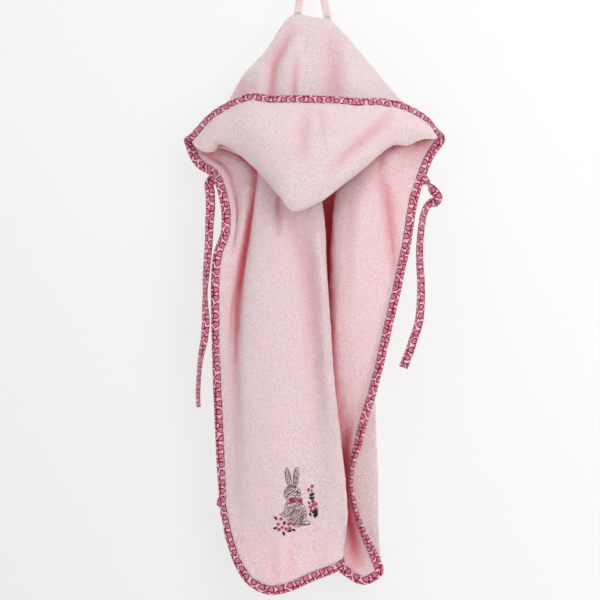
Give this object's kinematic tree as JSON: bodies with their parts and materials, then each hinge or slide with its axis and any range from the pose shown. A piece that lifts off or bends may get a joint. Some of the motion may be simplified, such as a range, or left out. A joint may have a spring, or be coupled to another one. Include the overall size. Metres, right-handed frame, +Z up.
{
  "type": "hooded baby towel",
  "caption": "Terry baby towel hanging by its loop, with the hood down as an open pocket, printed tape binding, side ties and an embroidered motif.",
  "frame": {"origin": "the point the towel hangs from, at the inside top of its hanging loop", "axes": "+Z up, +X to the right seen from the front, -Y to the front, +Y towards the wall behind it"},
  "size_m": [0.3279, 0.1313, 0.7694],
  "materials": {
    "terry_body": "pale pink cotton terry",
    "terry_hood": "pale pink cotton terry",
    "terry_loop": "pale pink cotton terry strip",
    "printed_tape": "lilac pink cotton bias tape printed with small hearts",
    "tie_tape": "lilac pink cotton tape printed with small hearts, folded flat",
    "sewing_thread": "pink polyester sewing thread",
    "brown_thread": "brown satin-stitch embroidery",
    "rose_thread": "rose satin-stitch embroidery",
    "green_thread": "dark green satin-stitch embroidery"
  },
  "bodies": {
    "towel": {"body_panel": "terry_body", "hood_back": "terry_hood", "hang_loop": "terry_loop", "edge_binding": "printed_tape", "left_tie_tack": "sewing_thread", "right_tie_tack": "sewing_thread", "loop_tack_left": "sewing_thread", "loop_tack_right": "sewing_thread", "embroidery_animal": "brown_thread", "embroidery_flowers": "rose_thread", "embroidery_bud": "rose_thread", "embroidery_leaves": "green_thread"},
    "hood": {"hood_front": "terry_hood", "rim_binding": "printed_tape"},
    "tie_left": {"left_tie": "tie_tape"},
    "tie_right": {"right_tie": "tie_tape"}
  },
  "joints": [
    {"name": "hood_lift", "type": "hinge", "parent": "towel", "child": "hood", "pos_m": [0, -0.022, -0.191], "axis": [-1, 0, 0], "range_deg": [0, 20]},
    {"name": "left_tie_swing", "type": "hinge", "parent": "towel", "child": "tie_left", "pos_m": [-0.128, -0.016, -0.246], "axis": [-1, 0, 0], "range_deg": [0, 45]},
    {"name": "right_tie_swing", "type": "hinge", "parent": "towel", "child": "tie_right", "pos_m": [0.145, -0.022, -0.245], "axis": [-1, 0, 0], "range_deg": [0, 45]}
  ]
}
